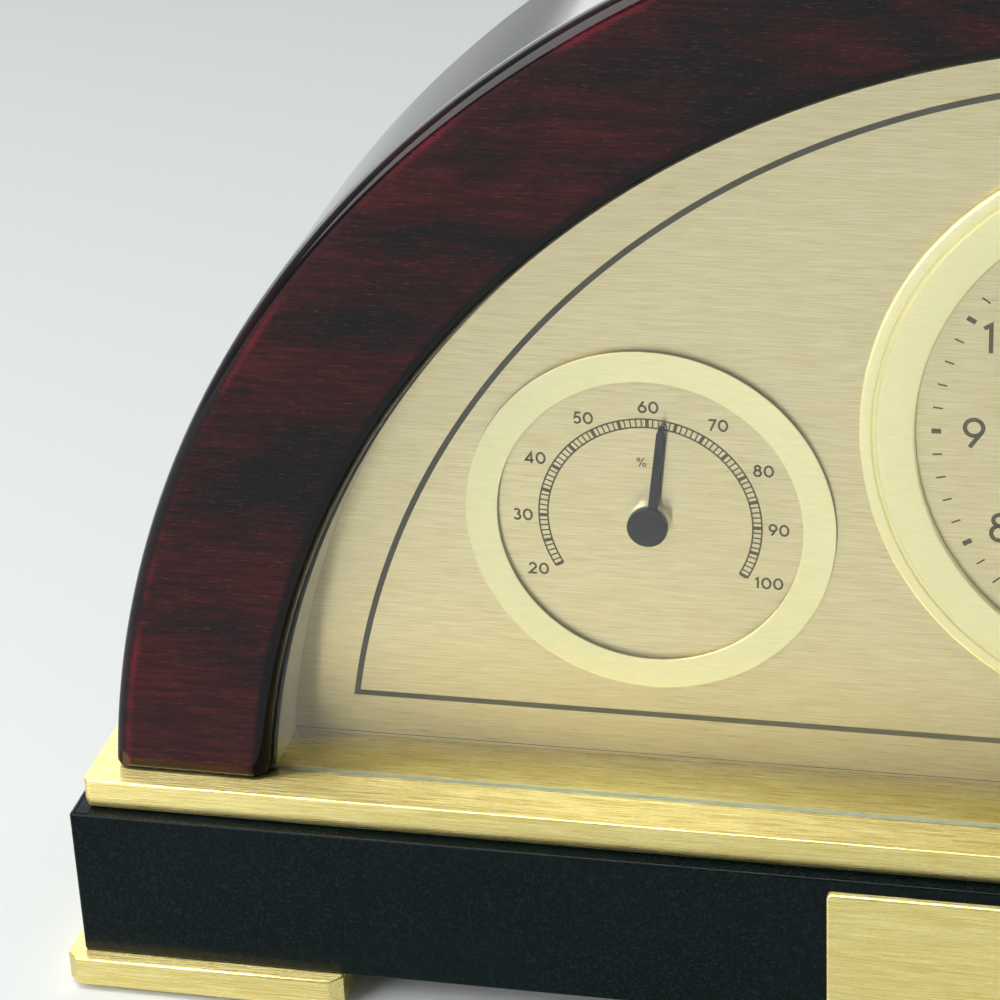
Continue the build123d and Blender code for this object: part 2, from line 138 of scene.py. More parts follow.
# rosewood veneer, stained nearly black, under clear piano lacquer
rosewood = {
    "patterns": {
        # mm along X, Y and Z, detail, roughness, distortion; the grain runs along X
        "fleck": ((1.1, 1.1, 0.12), 3.0, 0.6, 0.3),    # short open pores that catch the light
        "fibre": ((4.5, 4.5, 0.28), 3.0, 0.6, 0.3),    # longer, softer lines
        "figure": ((62.0, 50.0, 9.0), 3.0, 0.6, 0.3),  # bands of red between the blue-black
        "cloud": ((24.0, 24.0, 13.0), 3.0, 0.6, 0.3),
        "sag": ((18.0, 18.0, 10.0), 2.0, 0.5, 0.0),    # slow waves of the lacquer
    },
    "ink": "#080A0D", "wine": "#240A0D", "red": "#4C151A", "fleckTone": "#6E3C34", "crimson": "#56131D",
    "glue": "#180307",
    # where each share below starts and where it is full, in mm: radii from the arch's centre
    "glow": (119.35, 125.35),      # the red warms towards the edge
    "sapLine": (125.35, 125.85),   # the veneer's stained edge shows crimson here
    "edgeSeal": (126.1, 126.5),    # black sealer round the outer edge
    "glueLine": (125.75, 125.55),  # the glue line beside it
    "lipSeal": (109.6, 109.1),     # inside this the lip is sealed black
    # depths behind the front, and a height over the brass
    "face": (1.2, 0.8),            # the front's finish ends here on the rounding
    "edgeDepth": (2.0, 1.5),       # the seal reaches back to here
    # painted shade on the legs just over the brass, where they meet the deck
    "paintedLegShade": (1.3, 0.7),
    "ragged": 1.6,                 # how far the grain frays the lines
    "sag": 0.03,
    "gloss": (1.0, 0.5),           # clear coat outside and on the front, which was rubbed down between coats
}


def lacqueredRosewood():
    # dark streaky red deep under a mirror gloss
    w = rosewood
    material, tree, body, grain = startMaterial("lacqueredRosewood", {
        "Roughness": 0.5, "Specular IOR Level": 0.0, "Coat Roughness": 0.08, "Coat IOR": 1.45}, w["patterns"])
    zones = addNode(tree, "Mix", links={0: 0.5, 2: grain["figure"], 3: grain["cloud"]})
    apart = addNode(tree, "SeparateXYZ", links={"Vector": grain["place"]}).node.outputs
    above = addNode(tree, "Math", {"operation": "SUBTRACT"}, {0: apart["Z"], 1: centreZ * mm})
    flat = addNode(tree, "CombineXYZ", links={"X": apart["X"], "Y": above})
    radius = addNode(tree, "VectorMath", {"operation": "LENGTH"}, {0: flat}, 1)
    frayed = addNode(tree, "Math", {"operation": "MULTIPLY_ADD"}, {
        0: grain["fleck"], 1: w["ragged"] * mm, 2: radius})

    share = {}
    for key, value, start, end, low in (
            # share, pattern, its values where the share starts and is full, and the lowest share
            ("wine", zones, 0.46, 0.57, 0.0),
            ("redLines", grain["fibre"], 0.42, 0.72, 0.0),
            ("redZones", zones, 0.47, 0.6, 0.08),
            ("glowLines", grain["fibre"], 0.35, 0.65, 0.15),
            ("sapZones", grain["cloud"], 0.46, 0.58, 0.05),
            ("flecks", grain["fleck"], 0.56, 0.76, 0.0),
            ("fleckLines", grain["fibre"], 0.4, 0.62, 0.15)):
        share[key] = addNode(tree, "MapRange", links={
            "Value": value, "From Min": start, "From Max": end, "To Min": low})
    for key, value, origin in (
            ("glow", frayed, 0), ("sapLine", frayed, 0), ("edgeSeal", frayed, 0), ("glueLine", radius, 0),
            ("lipSeal", radius, 0), ("face", apart["Y"], archFront), ("edgeDepth", apart["Y"], archFront),
            ("paintedLegShade", apart["Z"], deckTop)):
        share[key] = addNode(tree, "MapRange", links={
            "Value": value, "From Min": (origin + w[key][0]) * mm, "From Max": (origin + w[key][1]) * mm})

    # the tones from the ground up; each covers those before it by the product of its shares
    sealAndShade = addNode(tree, "Math", times, {0: share["edgeSeal"], 1: share["edgeDepth"]})
    glue = addNode(tree, "Math", times, {0: share["glueLine"], 1: sealAndShade})
    # the black seal joins the legs' painted shade over the brass
    for key in ("lipSeal", "paintedLegShade"):
        sealAndShade = addNode(tree, "Math", {"operation": "MAXIMUM"}, {0: sealAndShade, 1: share[key]})
    colour = linear(w["ink"])
    for tone, cover, *others in (
            ("wine", share["wine"]),
            ("red", share["redLines"], share["redZones"], 0.7),
            ("red", share["glow"], share["glowLines"], share["face"], 0.35),
            ("crimson", share["sapLine"], share["face"], share["sapZones"]),
            ("fleckTone", share["flecks"], share["fleckLines"], 0.75),
            ("ink", sealAndShade, 0.9),
            ("glue", glue)):
        for other in others:
            cover = addNode(tree, "Math", times, {0: cover, 1: other})
        colour = addNode(tree, "Mix", rgb, {0: cover, 6: colour, 7: linear(w[tone])}, 2)
    flow = addNode(tree, "Bump", links={"Height": grain["sag"], "Distance": w["sag"] * mm, "Strength": 0.4})
    gloss = addNode(tree, "MapRange", links={
        "Value": share["face"], "To Min": w["gloss"][0], "To Max": w["gloss"][1]})
    for value, name in ((colour, "Base Color"), (flow, "Coat Normal"), (gloss, "Coat Weight")):
        tree.links.new(value, body.inputs[name])
    return material


def blackLacquer():
    # sprayed black lacquer on board: even, with a faint orange peel and a blue-green depth
    material, tree, body, grain = startMaterial("sprayedBlackLacquer", {
        "IOR": 1.45, "Specular IOR Level": 0.1}, {
        "cloud": ((40.0, 30.0, 22.0), 3.0, 0.5, 0.0), "peel": ((0.35, 0.35, 0.35), 2.0, 0.5, 0.0)})
    bumps = addNode(tree, "MapRange", links={
        "Value": grain["peel"], "From Min": 0.5, "From Max": 0.7, "To Max": 0.8})
    dressSurface(tree, body, "#030A0B", ((grain["cloud"], "#081314"), (bumps, "#122123")),
                 (grain["cloud"], 0.3, 0.7, 0.2, 0.32), grain["peel"], 0.008)
    return material


brassLooks = {
    # dark and light colour, roughness low and high, length and fineness of the brushing in mm, relief in mm
    "brushedBrass": ("#DAC36E", "#F6E9A6", 0.24, 0.3, 6.0, 0.085, 0.003),
    "champagneBrass": ("#E2CE9B", "#F7E8C0", 0.27, 0.32, 4.0, 0.085, 0.002),
}


def brushedBrass(name):
    # rolled brass brushed along X: long fine lines that pull every reflection across them
    dark, light, smooth, rough, length, fine, depth = brassLooks[name]
    material, tree, body, grain = startMaterial(name, {
        "Metallic": 1.0, "Anisotropic": 1.0, "Anisotropic Rotation": 0.25}, {
        "lines": ((length, fine, fine), 2.0, 0.6, 0.0),
        "bands": ((length * 3, fine * 6, fine * 6), 3.0, 0.6, 0.0)})
    tree.links.new(addNode(tree, "CombineXYZ", links={"X": 1.0}), body.inputs["Tangent"])
    both = addNode(tree, "Mix", links={0: 0.2, 2: grain["lines"], 3: grain["bands"]})
    share = addNode(tree, "MapRange", links={"Value": both, "From Min": 0.37, "From Max": 0.62})
    gloss = (both, 0.3, 0.7, smooth, rough)
    dressSurface(tree, body, dark, [(share, light)], gloss, grain["lines"], depth, 0.6)
    return material


metals = {
    # slot: name, dark and light colour, roughness low and high, size of the marks in mm, relief in mm
    # brass etched matt and clear coated: an even pale skin with a fine tooth
    "pale_matte_brass": ("etchedPaleBrass", "#F3E8B1", "#FCF3C5", 0.4, 0.5, (1.6, 0.16, 0.16), 0.002),
    # zinc plated steel: bluish grey, rolled marks
    "zinc_steel": ("zincPlatedSteel", "#A9ABA8", "#C9CBC7", 0.26, 0.4, (1.2, 1.2, 0.3), 0.006),
    # brass turned on a lathe: bright, hardly marked
    "turned_brass": ("turnedBrass", "#C3A55A", "#D8BE75", 0.26, 0.34, (0.6, 0.18, 0.6), 0.0008),
    # nickel plate over brass: warm white metal
    "nickel_plate": ("nickelPlate", "#D3CFC0", "#E6E2D4", 0.32, 0.42, (1.0, 1.0, 1.0), 0.002),
    # rolled bronze strip: drawn lines along its length
    "coil_strip": ("rolledBronzeStrip", "#A8854B", "#C9A76A", 0.25, 0.4, (4.0, 0.2, 4.0), 0.004),
    # nickel plated steel can: bright, slightly rippled by the drawing press
    "battery_steel": ("platedCanSteel", "#B5B6B4", "#D2D3D1", 0.15, 0.3, (2.0, 2.0, 2.0), 0.003),
}
skins = {
    # slot: name, colours, roughness, grains and relief as above, then the shader's own values
    # injection moulded styrene, satin, a little see-through looking
    "pale_plastic": ("satinStyrene", "#A09A7E", "#B2AB90", 0.34, 0.44, (9.0, 9.0, 9.0), 0.004, {}),
    # painted hardboard: even black with a fine felted tooth
    "black_board": ("paintedHardboard", "#141414", "#1F1E1D", 0.55, 0.8, (0.7, 0.7, 0.7), 0.03, {}),
    # raw fibreboard edge: tan, fuzzy
    "raw_board": ("rawFibreboard", "#8A6B45", "#B0906A", 0.8, 0.95, (0.8, 0.8, 0.8), 0.05, {}),
    # wool felt: black fibres that drink the light
    "black_felt": ("woolFelt", "#0E0E0F", "#26262A", 0.9, 1.0, (0.5, 0.5, 0.4), 0.12, {"Sheen Weight": 0.4}),
    # spark eroded black mouldings: fine even tooth, the instrument's cup a little paler
    "black_plastic": ("mouldedBlackStyrene", "#121213", "#1D1D1F", 0.42, 0.6, (0.35, 0.35, 0.35), 0.012, {}),
    "dark_cup_plastic": ("mouldedCupStyrene", "#1B1B1C", "#29292A", 0.45, 0.6, (0.5, 0.5, 0.5), 0.012, {}),
    # nitrile rubber: dull and slightly dusty
    "black_rubber": ("nitrileRubber", "#17181A", "#242527", 0.7, 0.9, (0.6, 0.6, 0.6), 0.02, {}),
    # stoved satin enamel on needles and hands: soft grey sheen over black
    "black_hand_paint": ("stovedEnamel", "#090C0C", "#0E1212", 0.36, 0.46, (3.0, 3.0, 3.0), 0.002,
                         {"Specular IOR Level": 0.08}),
    # screen printed ink: thin, slightly broken by the brushing under it
    "dialInk": ("screenPrintedInk", "#3C3618", "#4C4628", 0.5, 0.65, (0.5, 0.3, 0.12), 0.003,
                {"Specular IOR Level": 0.1}),
    # pad printed paint at the battery bay: flat light grey
    "markPaint": ("padPrintedPaint", "#8C8D89", "#9B9C98", 0.5, 0.65, (0.5, 0.5, 0.5), 0.003, {}),
    # black sealer inside the lip: thin, hardly glossy
    "sealedLip": ("sealedLipLacquer", "#060505", "#0D0A08", 0.3, 0.42, (3.0, 3.0, 3.0), 0.005,
                  {"Specular IOR Level": 0.05}),
    # ground edge of float glass: grey green, matt
    "groundEdge": ("groundGlassEdge", "#727B6A", "#88917D", 0.5, 0.7, (0.6, 0.6, 0.6), 0.01, {}),
}
paintedWallShade = "#8F8458"   # painted shade on the walls of the dial's rings, which stand in shadow and mirror dark beside the dial


def grainedSurface(row, metal):
    # two tones of one colour in grains of the given size, with a relief of the same grains; a piece may mark
    # the walls that get painted shade with the attribute wallShade
    name, dark, light, smooth, rough, sizes, depth = row[:7]
    values = {"Metallic": 1.0} if metal else {"IOR": 1.5, **row[7]}
    material, tree, body, grain = startMaterial(name, values, {"marks": (sizes, 4.0, 0.6, 0.0)})
    share = addNode(tree, "MapRange", links={"Value": grain["marks"], "From Min": 0.3, "From Max": 0.7})
    layers = [(share, light)]
    if metal:
        # painted shade: the rings' walls darken where the attribute wallShade marks them
        layers += [(addNode(tree, "Attribute", {"attribute_name": "wallShade"}, out=2), paintedWallShade)]
    dressSurface(tree, body, dark, layers, (share, 0, 1, smooth, rough), grain["marks"], depth)
    return material


def clearGlass():
    # float glass with hardly any tint; lamp rays pass straight through, so the dial is lit
    tint = linear("#FBFDFB")
    material, tree, body, grain = startMaterial("clearFloatGlass", {
        "Transmission Weight": 1.0, "IOR": 1.5, "Base Color": tint}, {
        "smear": ((30.0, 5.0, 22.0), 4.0, 0.65, 0.0)})
    rough = addNode(tree, "MapRange", links={
        "Value": grain["smear"], "From Min": 0.55, "From Max": 0.8, "To Max": 0.04})
    tree.links.new(rough, body.inputs["Roughness"])
    clear = addNode(tree, "BsdfTransparent", links={"Color": tint})
    shadowRay = addNode(tree, "LightPath", out=1)
    mixed = addNode(tree, "MixShader", links={0: shadowRay, 1: body.outputs[0], 2: clear})
    output = next(node for node in tree.nodes if node.type == "OUTPUT_MATERIAL")
    tree.links.new(mixed, output.inputs["Surface"])
    return material


batteryLook = {"body": "#17181B", "bodyLight": "#222429", "band": "#B98A3E", "bandShare": 0.27}


def batteryWrap():
    # shrunk plastic film, printed black with a copper coloured band at the plus end
    b = batteryLook
    low, high = boxOf("battery_sleeve")
    material, tree, body, grain = startMaterial("printedShrinkFilm", {"IOR": 1.5}, {
        "ripple": ((6.0, 6.0, 6.0), 2.0, 0.5, 0.0)})
    edge = high[0] - b["bandShare"] * (high[0] - low[0])
    along = addNode(tree, "SeparateXYZ", links={"Vector": grain["place"]})
    inBand = addNode(tree, "MapRange", links={
        "Value": along, "From Min": edge * mm, "From Max": (edge + 0.1) * mm})
    dressSurface(tree, body, b["body"], ((grain["ripple"], b["bodyLight"]), (inBand, b["band"])),
                 (grain["ripple"], 0, 1, 0.18, 0.34), grain["ripple"], 0.02)
    return material


looks["rosewood_lacquer"] = lacqueredRosewood()
looks["black_lacquer"] = blackLacquer()
looks["brushed_brass"] = brushedBrass("brushedBrass")
looks["champagne_brass"] = brushedBrass("champagneBrass")
looks["clear_glass"] = clearGlass()
looks["battery_label"] = batteryWrap()
for slotName, row in metals.items():
    looks[slotName] = grainedSurface(row, True)
for slotName, row in skins.items():
    looks[slotName] = grainedSurface(row, False)
for nodeName, slotName in slotOf.items():
    nodeMesh = frame["nodes"][nodeName].data
    nodeMesh.materials.clear()
    nodeMesh.materials.append(looks[slotName])
print("materials made:", len(looks))


def gridFaces(rows, columns, closeRows=False):
    # quads between neighbouring points of a grid whose rows close on themselves
    i = np.arange(rows if closeRows else rows - 1)[:, None]
    j = np.arange(columns)[None, :]
    a, b = i * columns + j, i * columns + (j + 1) % columns
    c, d = ((i + 1) % rows) * columns + (j + 1) % columns, ((i + 1) % rows) * columns + j
    return np.stack([a, b, c, d], -1).reshape(-1, 4).tolist()


sharpTurn = 35.0   # degrees, edges that turn more than this stay crisp


def makePiece(name, points, faces, slotName, body="case", hides=(), look=None):
    # a closed mesh from points in mm, with its normals outwards
    mesh = bpy.data.meshes.new(name)
    mesh.from_pydata((np.asarray(points, float).reshape(-1, 3) * mm).tolist(), [], faces)
    shell = bmesh.new()
    shell.from_mesh(mesh)
    bmesh.ops.recalc_face_normals(shell, faces=shell.faces)
    shell.to_mesh(mesh)
    shell.free()
    mesh.shade_smooth()
    mesh.set_sharp_from_angle(angle=math.radians(sharpTurn))
    mesh.materials.append(looks[look or slotName])
    piece = bpy.data.objects.new(name, mesh)
    bpy.context.scene.collection.objects.link(piece)
    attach(piece, body)
    if hides:
        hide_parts(*hides)
    return piece


def joined(shapes):
    # several (points, faces) as one
    allPoints, allFaces, start = [], [], 0
    for points, faces in shapes:
        allPoints.append(points)
        allFaces += [[k + start for k in face] for face in faces]
        start += len(points)
    return np.concatenate(allPoints), allFaces


def quarter(steps, start):
    # unit directions of a quarter turn from start degrees, in (first, second) coordinates
    angle = np.radians(start + np.linspace(0, 90, steps + 1))
    return np.stack([np.cos(angle), np.sin(angle)], -1)


def endCaps(rows, columns):
    return [list(range(columns)), [(rows - 1) * columns + k for k in range(columns)]]


archSizes = {
    "band": 19.3,          # mm, width of the wooden bar
    "edgeRound": 2.0,
    "footRound": 1.1,      # where the legs meet the brass
    "pocketStep": 3.3,     # the rebate for glass and dial
    "liningStep": 0.35,    # the lining stands this far inside the lip
    "liningSeam": 0.1,     # the dark line between lining and dial
    "roundSteps": 8,
    "arcSteps": 240,
    "hold": 0.3,           # the flat strip beside each rounding
    "firstSlant": 6.0,     # degrees, where the rounding at the feet begins
    "near": 0.1,           # faces this near to the rebate belong to it
}


def makeBar(name, profile, shift, rounding, slotName, hides):
    # The profile's points (radius, depth) turn about the arch's centre from one end face to the other; every
    # point starts where its own circle meets the end plane, so the end is flat. Towards the end the profile
    # moves inwards by its shift on a quarter circle, which rounds the end's edge.
    slant = np.array([math.pi / 2])
    if rounding:
        slant = np.radians(np.linspace(archSizes["firstSlant"], 90, archSizes["roundSteps"]))
    rise = rounding * (math.cos(slant[0]) - np.cos(slant))
    inward = rounding * (1 - np.sin(slant))
    halfArc = np.linspace(0, 1, archSizes["arcSteps"] // 2 + 1)[1:]
    inset = np.concatenate([inward, np.zeros(len(halfArc))])[:, None]
    radius = profile[None, :, 0] + inset * shift[None, :, 0]
    depth = profile[None, :, 1] + inset * shift[None, :, 1]
    lift = np.concatenate([rise, np.full(len(halfArc), rise[-1])])[:, None]
    angle = np.arcsin((deckTop - centreZ + lift) / radius)
    share = np.concatenate([np.zeros(len(slant)), halfArc])[:, None]
    angle = angle + share * (math.pi / 2 - angle)
    right = np.stack([radius * np.cos(angle), depth, centreZ + radius * np.sin(angle)], -1)
    left = right[-2::-1] * np.array([-1, 1, 1])
    rings = np.concatenate([right, left])
    rows, columns = rings.shape[:2]
    return makePiece(name, rings, gridFaces(rows, columns) + endCaps(rows, columns), slotName, hides=hides)


def makeArch():
    # the bar's section: a rectangle with rounded edges and the rebate cut from its inner rear corner
    s = archSizes
    r, hold, steps = s["edgeRound"], s["hold"], s["roundSteps"]
    inner = outerRadius - s["band"]
    pocket = inner + s["pocketStep"]
    frontArc, backArc, lipArc = quarter(steps, -90), quarter(steps, 0), quarter(steps, 180)
    parts = [
        ([[outerRadius - r - hold, archFront]], [[0, 1]]),
        (np.array([outerRadius - r, archFront + r]) + r * frontArc, -frontArc),
        ([[outerRadius, archFront + r + hold], [outerRadius, archBack - r - hold]], [[-1, 0], [-1, 0]]),
        (np.array([outerRadius - r, archBack - r]) + r * backArc, -backArc),
        ([[outerRadius - r - hold, archBack], [pocket, archBack]], [[0, -1], [0, -1]]),
        ([[pocket, glassFront]], [[0, 0]]),
        ([[inner, glassFront]], [[1, 0]]),
        (np.array([inner + r, archFront + r]) + r * lipArc, -lipArc),
        ([[inner + r + hold, archFront]], [[0, 1]]),
    ]
    profile = np.concatenate([np.array(points, float) for points, _ in parts])
    shift = np.concatenate([np.array(move, float) for _, move in parts])
    arch = makeBar("arch_lacquered", profile, shift, s["footRound"], "rosewood_lacquer", ["arch_case"])
    arch.data.materials.append(looks["sealedLip"])
    for face in arch.data.polygons:
        # the wall inside the lip and the rebate behind it
        x, y, z = face.center / mm
        if math.hypot(x, z - centreZ) < pocket + s["near"] and y > archFront + r:
            face.material_index = 1


def makeLining():
    # plain half ring between glass and dial
    low, high = boxOf("aperture_lining")
    inner = outerRadius - archSizes["band"] - archSizes["liningStep"]
    back = high[1] - archSizes["liningSeam"]
    profile = np.array([[seatRadius, low[1]], [seatRadius, back], [inner, back], [inner, low[1]]])
    makeBar("lining_band", profile, np.zeros((4, 2)), 0.0, "pale_plastic", ["aperture_lining"])


makeArch()
makeLining()
print("arch and lining made")


edgeSteps = 6
edgeHold = 0.25   # mm, a narrow strip beside each rounding keeps the flats flat


def edgeRows(start, end, startEdge, endEdge):
    # rows (place along the axis, inset): each end rounds off on a quarter ellipse of edge = (rise, inward)
    angle = np.radians(np.linspace(0, 90, edgeSteps + 1))
    rows = []
    for at, way, (rise, inward) in ((start, 1, startEdge), (end, -1, endEdge)):
        column = np.stack([at + way * rise * (1 - np.cos(angle)), inward * (1 - np.sin(angle))], -1)
        column = np.vstack([[at, inward + edgeHold], column, [at + way * (rise + edgeHold), 0]])
        rows.append(column if way == 1 else column[::-1])
    return np.concatenate(rows)


def stackPiece(name, outlineAt, rows, axis, slotName, hides=(), body="case"):
    # the outline drawn inwards by each row's inset is laid at that row's place along the axis
    across = [k for k in range(3) if k != axis]
    outlines = np.array([outlineAt(inset) for _, inset in rows])
    solid = np.zeros(outlines.shape[:2] + (3,))
    solid[..., across[0]], solid[..., across[1]] = outlines[..., 0], outlines[..., 1]
    solid[..., axis] = np.asarray(rows)[:, 0][:, None]
    count, columns = solid.shape[:2]
    faces = gridFaces(count, columns) + endCaps(count, columns)
    return makePiece(name, solid, faces, slotName, body, hides)


def rectangleAt(low, high, corner, steps):
    # a rectangle whose corners are quarter circles, or chamfers when steps is 1
    points, shifts = [], []
    for right, top, start in ((1, 1, 0), (0, 1, 90), (0, 0, 180), (1, 0, 270)):
        turn = quarter(steps, start)
        centre = np.where([right, top], np.array(high) - corner, np.array(low) + corner)
        points.append(centre + corner * turn)
        shifts.append(-turn)
    outline, shift = np.concatenate(points), np.concatenate(shifts)
    return lambda inset: outline + inset * shift


baseEdges = {
    # piece: node, axis, corner and its steps, low edge, high edge, in mm
    "plinth_block": ("plinth", 2, 0.5, 4, (0.4, 0.4), (0.4, 0.4)),
    "deck_bar": ("deck_strip", 2, 1.0, 6, (1.4, 0.8), (0.2, 0.2)),
    "foot_left": ("left_foot", 2, 1.5, 1, (0.2, 0.2), (0.32, 0.32)),
    "foot_right": ("right_foot", 2, 1.5, 1, (0.2, 0.2), (0.32, 0.32)),
    "plaque_plate": ("front_plaque", 1, 0.6, 5, (0.3, 0.3), (0.02, 0.02)),
}
for pieceName, (nodeName, axis, corner, cornerSteps, lowEdge, highEdge) in baseEdges.items():
    low, high = boxOf(nodeName)
    across = [k for k in range(3) if k != axis]
    stackPiece(pieceName, rectangleAt(low[across], high[across], corner, cornerSteps),
               edgeRows(low[axis], high[axis], lowEdge, highEdge), axis, slotOf[nodeName], [nodeName])

glassSizes = {
    "seam": 0.2, "hold": 0.25, "clearance": 0.01, "arcSteps": 200,   # mm, the pane's broken edges
    # the strip under the dial: behind the dial's face, short of its ends, and on top of it a black strip of
    # painted shadow
    "shimSetback": 0.12, "shimShort": 0.6, "shimCorner": 0.05, "slit": 0.18, "slitSetback": 0.03,
    "hairline": 0.001,
    "down": -0.9,   # faces whose normal points lower than this are the ground edge
}


def segmentAt(radius, bottom, steps):
    # a disc about the arch's centre, cut off flat; drawn inwards, arc and cut both move by the inset
    def outline(inset):
        r = radius - inset
        start = math.asin((bottom + inset - centreZ) / r)
        angle = np.linspace(start, math.pi - start, steps)
        return np.stack([r * np.cos(angle), centreZ + r * np.sin(angle)], -1)
    return outline


def makeGlass():
    # the pane's lower edge is ground, which is what shows as its pale line on the brass
    g = glassSizes
    seam, hold = g["seam"], g["hold"]
    rows = [(glassFront, seam + hold), (glassFront, seam), (glassFront + seam, 0), (glassBack - seam, 0),
            (glassBack, seam), (glassBack, seam + hold)]
    outline = segmentAt(seatRadius, deckTop + g["clearance"], g["arcSteps"])
    pane = stackPiece("glass_pane", outline, rows, 1, "clear_glass", ["front_glass"])
    pane.data.materials.append(looks["groundEdge"])
    for face in pane.data.polygons:
        if face.normal.z < g["down"]:
            face.material_index = 1


def makeDialShim():
    # the dial's lower edge stands on a thin brass strip, with a black strip of painted shadow between
    g = glassSizes
    low, high = boxOf("dial_plate")
    side = (high[0] - low[0]) / 2 - g["shimShort"]
    front, back = low[1] + g["shimSetback"], high[1] - g["shimSetback"]
    outline = rectangleAt([-side, front], [side, back], g["shimCorner"], 1)
    seam, inset = low[2] - g["slit"], g["slitSetback"]
    stackPiece("dial_shim", outline, [(deckTop, 0), (seam, 0)], 2, "champagne_brass")
    # painted shadow: a black strip fills the gap under the dial where shade falls
    stackPiece("dial_shadow_strip", outline, [(seam + g["hairline"], inset), (low[2], inset)], 2, "black_rubber")


makeGlass()
makeDialShim()
print("base and glass made")


def turnedShape(profile, centre, axis, way, steps):
    # The profile's rows are (radius, height); each turns round the centre, with heights along the axis, and a
    # radius may be an array of one value for each step. A profile that starts and ends on the axis is closed
    # by poles, any other one closes on itself.
    turn = np.linspace(0, 2 * math.pi, steps, endpoint=False)
    across = [k for k in range(3) if k != axis]
    poles = np.ndim(profile[0][0]) == 0 and profile[0][0] == 0
    ring = profile[1:-1] if poles else profile
    radius = np.array([np.broadcast_to(r, steps) for r, _ in ring])
    points = np.zeros((len(ring), steps, 3))
    points[..., across[0]] = centre[across[0]] + radius * np.sin(turn)
    points[..., across[1]] = centre[across[1]] + radius * np.cos(turn)
    points[..., axis] = centre[axis] + way * np.array([height for _, height in ring])[:, None]
    points = points.reshape(-1, 3)
    faces = gridFaces(len(ring), steps, closeRows=not poles)
    if poles:
        count, last = len(points), (len(ring) - 1) * steps
        ends = np.array([centre, centre], float)
        ends[:, axis] += way * np.array([profile[0][1], profile[-1][1]])
        points = np.vstack([points, ends])
        faces += [[k, (k + 1) % steps, count] for k in range(steps)]
        faces += [[last + k, last + (k + 1) % steps, count + 1] for k in range(steps)]
    return points, faces


def turnedPiece(name, node, profile, centres, body="case", axis=1, way=-1, steps=160):
    # the piece stands for the CAD node, with one turned shape at each centre
    shapes = [turnedShape(profile, centre, axis, way, steps) for centre in centres]
    return makePiece(name, *joined(shapes), slotOf[node], body, [node])


def arcProfile(centreR, centreH, radius, start, end, steps=5):
    angle = np.radians(np.linspace(start, end, steps + 1))
    return [(centreR + radius * math.cos(a), centreH + radius * math.sin(a)) for a in angle]


boreShare = 0.8257   # of a ring's radius
smallRing = {"edge": 0.06, "land": 0.02, "lean": 0, "edgeSteps": 3, "steps": 160, "hold": 0.2}   # mm, degrees
clockRing = {
    "edge": 0.3, "land": 0.0, "lean": 10, "edgeSteps": 5, "steps": 240,
    "groove": 0.955, "grooveWidth": 0.35, "grooveDepth": 0.3,   # share of the radius, then mm
    "wall": 0.1,                                                # painted shade this far above the dial
}


def makeRing(kind, shape, centre):
    # ring with broken edges; the clock's has a turned groove near its rim, the others are flat
    low, high = boxOf(kind + "_ring")
    outer, height = (high[0] - low[0]) / 2, high[1] - low[1]
    inner, e = outer * boreShare, shape["edge"]
    side = height - e - shape["land"]
    if "groove" in shape:
        groove, width = outer * shape["groove"], shape["grooveWidth"]
        floor, wall = height - shape["grooveDepth"], shape["wall"]
        top = [(groove - width, height), (groove - width / 2, floor), (groove + width / 2, floor),
               (groove + width, height)]
    else:
        wall = side + shape["land"] / 2
        top = [(inner + e + shape["hold"], height), (outer - e - shape["hold"], height)]
    profile = [(inner, 0), (inner, side)]
    profile += arcProfile(inner + e, height - e, e, 180 - shape["lean"], 90, shape["edgeSteps"]) + top
    profile += arcProfile(outer - e, height - e, e, 90, shape["lean"], shape["edgeSteps"])
    profile += [(outer, side), (outer, 0)]
    ring = turnedPiece(kind + "_bezel", kind + "_ring", profile, [centre], steps=shape["steps"])
    # points less than wall above the dial get the painted shade of the walls
    places = np.array([corner.co[1] for corner in ring.data.vertices]) / mm
    shade = ring.data.attributes.new("wallShade", "FLOAT", "POINT")
    shade.data.foreach_set("value", (dialFront - places < wall).astype(np.float32))


capShape = {"edge": 0.1, "rise": 0.3, "dome": 0.03, "flatShare": 0.6, "steps": 96}   # mm
pointerShape = {
    # mm from the turning axis, half widths, thickness of the bevel
    "root": 0.6, "neck": 0.5, "neckAt": 12.0, "point": 0.2, "length": 13.15, "bevel": 0.07,
}
# degrees clockwise from straight up, and mm to the side
pointerTurns = {"hygrometer": (6.8, 0.33), "thermometer": (8.0, 0.0)}


def makeHub(name, nodeName, body):
    # flat black cap with a turned edge
    low, high = boxOf(nodeName)
    radius, height = (high[0] - low[0]) / 2, high[1] - low[1] + capShape["rise"]
    e, dome = capShape["edge"], capShape["dome"]
    profile = [(0, 0), (radius, 0), (radius, height - e - dome)]
    profile += arcProfile(radius - e, height - e - dome, e, 10, 80)
    profile += [(radius * capShape["flatShare"], height - dome / 3), (0, height)]
    centre = ((low[0] + high[0]) / 2, high[1], (low[2] + high[2]) / 2)
    turnedPiece(name, nodeName, profile, [centre], body, steps=capShape["steps"])


def makePointer(kind, cx):
    # thin bevelled strip that narrows a little and ends in a short point
    p = pointerShape
    turn, aside = pointerTurns[kind]
    turn = math.radians(turn)
    node = kind + "_needle"
    front, back = [corner[1] for corner in boxOf(node)]

    def outline(inset):
        rows = [(p["root"], 0.0), (p["neck"], p["neckAt"]), (p["point"], p["length"])]
        side = np.array([(half - inset, at - (inset if at else 0)) for half, at in rows])
        shape = np.vstack([side * [-1, 1], side[::-1]]) + [aside, 0]
        return np.stack([cx + shape[:, 0] * math.cos(turn) + shape[:, 1] * math.sin(turn),
                         instrumentZ - shape[:, 0] * math.sin(turn) + shape[:, 1] * math.cos(turn)], -1)

    rows = [(front, p["bevel"]), (front + p["bevel"], 0), (back, 0)]
    stackPiece(kind + "_pointer", outline, rows, 1, slotOf[node], [node], node)


